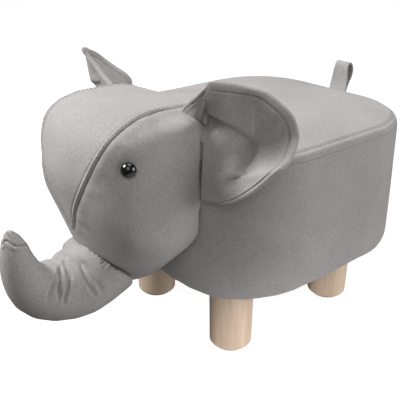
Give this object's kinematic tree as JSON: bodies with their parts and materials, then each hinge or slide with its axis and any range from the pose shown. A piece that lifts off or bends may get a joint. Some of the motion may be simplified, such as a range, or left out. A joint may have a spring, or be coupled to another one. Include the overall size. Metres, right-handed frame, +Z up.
{
  "type": "elephant footstool",
  "caption": "Low padded stool shaped like an elephant: flat cushioned seat, stuffed head with curled trunk, flap ears, loop tail and round wooden legs.",
  "frame": {"origin": "on the floor, below the middle of the whole stool's box from trunk to tail", "axes": "+Z up, -Y the way the elephant faces, +X the elephant's left"},
  "size_m": [0.3493, 0.5193, 0.348],
  "materials": {
    "suede": "brushed suede-look woven cover, mid grey",
    "leg_wood": "clear satin pale beech",
    "plywood": "raw plywood",
    "fibreboard": "raw bent hardboard",
    "softwood": "raw pine",
    "foam": "open-cell polyurethane foam",
    "wadding": "polyester fibre filling",
    "dust_cloth": "black spunbond lining",
    "steel": "zinc plated",
    "eye_plastic": "polished black",
    "washer_plastic": "moulded",
    "felt": "pressed felt"
  },
  "bodies": {
    "stool": {"seat_top_cover": "suede", "side_band": "suede", "forehead_gusset": "suede", "cheek_left": "suede", "cheek_right": "suede", "trunk_skin_left": "suede", "trunk_skin_right": "suede", "base_board": "plywood", "top_board": "plywood", "side_wall": "fibreboard", "seat_foam": "foam", "side_foam": "foam", "head_stuffing": "wadding", "trunk_stuffing": "wadding", "dust_cover": "dust_cloth", "dust_cover_staples": "steel", "frame_screws": "steel", "t_nuts": "steel", "eye_left": "eye_plastic", "eye_right": "eye_plastic", "eye_washer_left": "washer_plastic", "eye_washer_right": "washer_plastic", "post_front_left": "softwood", "post_front_right": "softwood", "post_back_left": "softwood", "post_back_right": "softwood"},
    "ear_left": {"ear_left": "suede"},
    "ear_right": {"ear_right": "suede"},
    "tail": {"tail_strap": "suede"},
    "leg_front_left": {"leg_front_left": "leg_wood", "hanger_bolt_front_left": "steel", "foot_pad_front_left": "felt"},
    "leg_front_right": {"leg_front_right": "leg_wood", "hanger_bolt_front_right": "steel", "foot_pad_front_right": "felt"},
    "leg_back_left": {"leg_back_left": "leg_wood", "hanger_bolt_back_left": "steel", "foot_pad_back_left": "felt"},
    "leg_back_right": {"leg_back_right": "leg_wood", "hanger_bolt_back_right": "steel", "foot_pad_back_right": "felt"}
  },
  "joints": [
    {"name": "ear_left_flap", "type": "hinge", "parent": "stool", "child": "ear_left", "pos_m": [0.0935, -0.073, 0.24], "axis": [0, 0, -1], "range_deg": [0, 60], "stiffness_Nm_per_rad": 0.03},
    {"name": "ear_right_flap", "type": "hinge", "parent": "stool", "child": "ear_right", "pos_m": [-0.0935, -0.073, 0.24], "axis": [0, 0, 1], "range_deg": [0, 60], "stiffness_Nm_per_rad": 0.03},
    {"name": "tail_fold", "type": "hinge", "parent": "stool", "child": "tail", "pos_m": [0, 0.2522, 0.2615], "axis": [1, 0, 0], "range_deg": [-75, 40], "stiffness_Nm_per_rad": 0.012},
    {"name": "leg_front_left_screw", "type": "hinge", "parent": "stool", "child": "leg_front_left", "pos_m": [0.0786, -0.0157, 0.09], "axis": [0, 0, 1], "continuous": true},
    {"name": "leg_front_right_screw", "type": "hinge", "parent": "stool", "child": "leg_front_right", "pos_m": [-0.0786, -0.0157, 0.09], "axis": [0, 0, 1], "continuous": true},
    {"name": "leg_back_left_screw", "type": "hinge", "parent": "stool", "child": "leg_back_left", "pos_m": [0.0786, 0.1673, 0.09], "axis": [0, 0, 1], "continuous": true},
    {"name": "leg_back_right_screw", "type": "hinge", "parent": "stool", "child": "leg_back_right", "pos_m": [-0.0786, 0.1673, 0.09], "axis": [0, 0, 1], "continuous": true}
  ]
}
